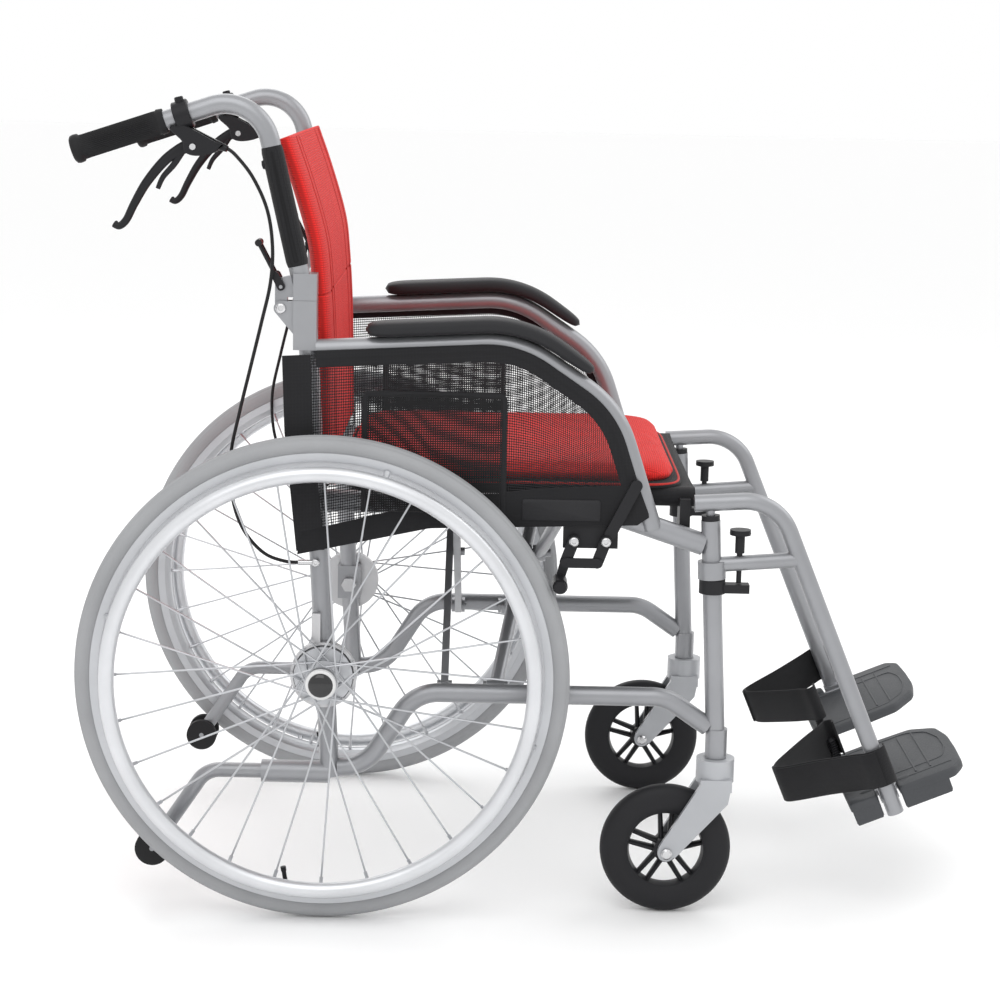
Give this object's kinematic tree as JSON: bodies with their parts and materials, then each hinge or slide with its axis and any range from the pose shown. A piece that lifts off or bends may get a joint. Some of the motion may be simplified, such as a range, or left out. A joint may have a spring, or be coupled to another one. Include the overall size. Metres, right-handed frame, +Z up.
{
  "type": "manual wheelchair",
  "caption": "Folding manual wheelchair with push handles and attendant brakes, swing-away footrests, spoked drive wheels, casters and anti-tippers.",
  "frame": {"origin": "on the floor, under the middle of the whole chair's box", "axes": "+X forward, +Y to the sitter's left, +Z up"},
  "size_m": [1.0314, 0.629, 0.93],
  "materials": {
    "frame_paint": "satin silver powder coat",
    "pad_vinyl": "soft matte black vinyl",
    "panel_fabric": "woven black",
    "black_fittings": "matte black",
    "hub_steel": "machined",
    "cable_black": "smooth black sheath",
    "grey_tyre": "light grey non-marking rubber",
    "wheel_metal": "satin anodised",
    "handrim_steel": "polished",
    "fork_paint": "pale grey gloss",
    "caster_rubber": "dark rubber tread",
    "grip_rubber": "ribbed",
    "black_plastic": "moulded",
    "black_steel": "satin black",
    "plate_plastic": "dark grey, ribbed",
    "black_webbing": "tight flat weave",
    "small_wheel_rubber": "smooth",
    "red_fabric": "coarse red weave"
  },
  "bodies": {
    "frame_right": {"rear_post_right": "frame_paint", "front_post_right": "frame_paint", "frame_rails_right": "frame_paint", "armrest_pad_right": "pad_vinyl", "side_panel_right": "panel_fabric", "frame_fittings_right": "black_fittings", "hub_brake_right": "hub_steel", "brake_cable_right": "cable_black", "back_lower": "red_fabric"},
    "wheel_right": {"tyre_right": "grey_tyre", "drive_wheel_right": "wheel_metal", "handrim_right": "handrim_steel"},
    "caster_fork_right": {"caster_fork_right": "fork_paint"},
    "caster_wheel_right": {"caster_wheel_right": "caster_rubber"},
    "back_right": {"push_handle_right": "frame_paint", "grip_right": "grip_rubber", "brake_bracket_right": "black_plastic", "back_upper": "red_fabric"},
    "brake_lever_right": {"brake_lever_right": "black_plastic"},
    "fold_release_right": {"fold_release_right": "black_steel"},
    "parking_handle_right": {"parking_handle_right": "black_steel"},
    "parking_link_right": {"parking_link_right": "black_steel"},
    "parking_arm_right": {"parking_arm_right": "black_steel"},
    "footplate_right": {"footplate_right": "plate_plastic"},
    "release_knob_right": {"release_knob_right": "black_plastic"},
    "hanger_right": {"hanger_right": "frame_paint", "heel_loop_right": "black_webbing"},
    "antitip_right": {"antitip_tube_right": "frame_paint"},
    "antitip_wheels_right": {"antitip_wheels_right": "small_wheel_rubber"},
    "frame_left": {"rear_post_left": "frame_paint", "front_post_left": "frame_paint", "frame_rails_left": "frame_paint", "armrest_pad_left": "pad_vinyl", "side_panel_left": "panel_fabric", "frame_fittings_left": "black_fittings", "hub_brake_left": "hub_steel", "brake_cable_left": "cable_black"},
    "wheel_left": {"tyre_left": "grey_tyre", "drive_wheel_left": "wheel_metal", "handrim_left": "handrim_steel"},
    "caster_fork_left": {"caster_fork_left": "fork_paint"},
    "caster_wheel_left": {"caster_wheel_left": "caster_rubber"},
    "back_left": {"push_handle_left": "frame_paint", "grip_left": "grip_rubber", "brake_bracket_left": "black_plastic"},
    "brake_lever_left": {"brake_lever_left": "black_plastic"},
    "fold_release_left": {"fold_release_left": "black_steel"},
    "parking_handle_left": {"parking_handle_left": "black_steel"},
    "parking_link_left": {"parking_link_left": "black_steel"},
    "parking_arm_left": {"parking_arm_left": "black_steel"},
    "footplate_left": {"footplate_left": "plate_plastic"},
    "release_knob_left": {"release_knob_left": "black_plastic"},
    "hanger_left": {"hanger_left": "frame_paint", "heel_loop_left": "black_webbing"},
    "antitip_left": {"antitip_tube_left": "frame_paint"},
    "antitip_wheels_left": {"antitip_wheels_left": "small_wheel_rubber"},
    "brace_a": {"brace_a": "frame_paint"},
    "brace_b": {"brace_b": "frame_paint"},
    "seat": {"seat_cushion": "red_fabric", "seat_sling": "black_webbing"}
  },
  "joints": [
    {"name": "chair_fold", "type": "hinge", "parent": "frame_right", "child": "brace_a", "pos_m": [-0.02873, -0.213, 0.256], "axis": [1, 0, 0], "range_deg": [0, 44], "deforming": ["seat_cushion", "seat_sling", "back_upper", "back_lower"]},
    {"name": "brace_cross", "type": "hinge", "parent": "brace_a", "child": "brace_b", "pos_m": [-0.02873, 0, 0.37359], "axis": [1, 0, 0], "range_deg": [-88, 0]},
    {"name": "left_frame_pivot", "type": "hinge", "parent": "brace_b", "child": "frame_left", "pos_m": [-0.02873, 0.213, 0.256], "axis": [1, 0, 0], "range_deg": [0, 44]},
    {"name": "seat_level", "type": "hinge", "parent": "brace_a", "child": "seat", "pos_m": [-0.02873, 0.2, 0.484], "axis": [1, 0, 0], "range_deg": [-44, 0]},
    {"name": "back_fold_right", "type": "hinge", "parent": "frame_right", "child": "back_right", "pos_m": [-0.27999, -0.235, 0.696], "axis": [0, -1, 0], "range_deg": [0, 90], "deforming": ["brake_cable_right"]},
    {"name": "brake_lever_right", "type": "hinge", "parent": "back_right", "child": "brake_lever_right", "pos_m": [-0.37726, -0.235, 0.87193], "axis": [0, 1, 0], "range_deg": [0, 20], "stiffness_Nm_per_rad": 0.8, "springref_deg": -11.46},
    {"name": "fold_release_right", "type": "hinge", "parent": "back_right", "child": "fold_release_right", "pos_m": [-0.27999, -0.235, 0.72], "axis": [0, -1, 0], "range_deg": [0, 20], "stiffness_Nm_per_rad": 0.3, "springref_deg": -11.46},
    {"name": "drive_spin_right", "type": "hinge", "parent": "frame_right", "child": "wheel_right", "pos_m": [-0.22873, -0.235, 0.28], "axis": [0, 1, 0], "continuous": true},
    {"name": "caster_swivel_right", "type": "hinge", "parent": "frame_right", "child": "caster_fork_right", "pos_m": [0.22332, -0.235, 0.186], "axis": [0, 0, 1], "continuous": true},
    {"name": "caster_spin_right", "type": "hinge", "parent": "caster_fork_right", "child": "caster_wheel_right", "pos_m": [0.16832, -0.235, 0.076], "axis": [0, 1, 0], "continuous": true},
    {"name": "parking_handle_right", "type": "hinge", "parent": "frame_right", "child": "parking_handle_right", "pos_m": [0.08816, -0.235, 0.442], "axis": [0, -1, 0], "range_deg": [0, 20]},
    {"name": "parking_arm_right", "type": "hinge", "parent": "frame_right", "child": "parking_arm_right", "pos_m": [0.05216, -0.235, 0.442], "axis": [0, -1, 0], "range_deg": [0, 20]},
    {"name": "parking_link_right", "type": "hinge", "parent": "parking_handle_right", "child": "parking_link_right", "pos_m": [0.07916, -0.235, 0.417], "axis": [0, -1, 0], "range_deg": [-20, 0]},
    {"name": "hanger_swing_right", "type": "hinge", "parent": "frame_right", "child": "hanger_right", "pos_m": [0.20671, -0.235, 0.483], "axis": [0.0558, 0, -0.9984], "range_deg": [0, 90]},
    {"name": "footplate_flip_right", "type": "hinge", "parent": "hanger_right", "child": "footplate_right", "pos_m": [0.42567, -0.21725, 0.14557], "axis": [0.9232, 0, 0.3843], "range_deg": [0, 88], "deforming": ["heel_loop_right"]},
    {"name": "release_knob_right", "type": "slide", "parent": "hanger_right", "child": "release_knob_right", "axis": [0, 0, 1], "range_m": [0, 0.006], "stiffness_N_per_m": 300, "springref_m": -0.004},
    {"name": "antitip_turn_right", "type": "hinge", "parent": "frame_right", "child": "antitip_right", "pos_m": [-0.26873, -0.235, 0.159], "axis": [1, 0, 0], "range_deg": [0, 180]},
    {"name": "antitip_wheel_spin_right", "type": "hinge", "parent": "antitip_right", "child": "antitip_wheels_right", "pos_m": [-0.42573, -0.235, 0.068], "axis": [0, 1, 0], "continuous": true},
    {"name": "back_fold_left", "type": "hinge", "parent": "frame_left", "child": "back_left", "pos_m": [-0.27999, 0.235, 0.696], "axis": [0, -1, 0], "range_deg": [0, 90], "deforming": ["brake_cable_left"]},
    {"name": "brake_lever_left", "type": "hinge", "parent": "back_left", "child": "brake_lever_left", "pos_m": [-0.37726, 0.235, 0.87193], "axis": [0, 1, 0], "range_deg": [0, 20], "stiffness_Nm_per_rad": 0.8, "springref_deg": -11.46},
    {"name": "fold_release_left", "type": "hinge", "parent": "back_left", "child": "fold_release_left", "pos_m": [-0.27999, 0.235, 0.72], "axis": [0, -1, 0], "range_deg": [0, 20], "stiffness_Nm_per_rad": 0.3, "springref_deg": -11.46},
    {"name": "drive_spin_left", "type": "hinge", "parent": "frame_left", "child": "wheel_left", "pos_m": [-0.22873, 0.235, 0.28], "axis": [0, 1, 0], "continuous": true},
    {"name": "caster_swivel_left", "type": "hinge", "parent": "frame_left", "child": "caster_fork_left", "pos_m": [0.22332, 0.235, 0.186], "axis": [0, 0, 1], "continuous": true},
    {"name": "caster_spin_left", "type": "hinge", "parent": "caster_fork_left", "child": "caster_wheel_left", "pos_m": [0.16832, 0.235, 0.076], "axis": [0, 1, 0], "continuous": true},
    {"name": "parking_handle_left", "type": "hinge", "parent": "frame_left", "child": "parking_handle_left", "pos_m": [0.08816, 0.235, 0.442], "axis": [0, -1, 0], "range_deg": [0, 20]},
    {"name": "parking_arm_left", "type": "hinge", "parent": "frame_left", "child": "parking_arm_left", "pos_m": [0.05216, 0.235, 0.442], "axis": [0, -1, 0], "range_deg": [0, 20]},
    {"name": "parking_link_left", "type": "hinge", "parent": "parking_handle_left", "child": "parking_link_left", "pos_m": [0.07916, 0.235, 0.417], "axis": [0, -1, 0], "range_deg": [-20, 0]},
    {"name": "hanger_swing_left", "type": "hinge", "parent": "frame_left", "child": "hanger_left", "pos_m": [0.20671, 0.235, 0.483], "axis": [-0.0558, 0, 0.9984], "range_deg": [0, 90]},
    {"name": "footplate_flip_left", "type": "hinge", "parent": "hanger_left", "child": "footplate_left", "pos_m": [0.42567, 0.21725, 0.14557], "axis": [-0.9232, 0, -0.3843], "range_deg": [0, 88], "deforming": ["heel_loop_left"]},
    {"name": "release_knob_left", "type": "slide", "parent": "hanger_left", "child": "release_knob_left", "axis": [0, 0, 1], "range_m": [0, 0.006], "stiffness_N_per_m": 300, "springref_m": -0.004},
    {"name": "antitip_turn_left", "type": "hinge", "parent": "frame_left", "child": "antitip_left", "pos_m": [-0.26873, 0.235, 0.159], "axis": [-1, 0, 0], "range_deg": [0, 180]},
    {"name": "antitip_wheel_spin_left", "type": "hinge", "parent": "antitip_left", "child": "antitip_wheels_left", "pos_m": [-0.42573, 0.235, 0.068], "axis": [0, 1, 0], "continuous": true}
  ],
  "couplings": [
    {"joint": "brace_cross", "follows": "chair_fold", "ratio": -2},
    {"joint": "left_frame_pivot", "follows": "chair_fold", "ratio": 1},
    {"joint": "seat_level", "follows": "chair_fold", "ratio": -1},
    {"joint": "parking_arm_right", "follows": "parking_handle_right", "ratio": 1},
    {"joint": "parking_link_right", "follows": "parking_handle_right", "ratio": -1},
    {"joint": "footplate_flip_right", "follows": "chair_fold", "ratio": 2},
    {"joint": "parking_arm_left", "follows": "parking_handle_left", "ratio": 1},
    {"joint": "parking_link_left", "follows": "parking_handle_left", "ratio": -1},
    {"joint": "footplate_flip_left", "follows": "chair_fold", "ratio": 2},
    {"joint": "back_fold_left", "follows": "back_fold_right", "ratio": 1}
  ]
}
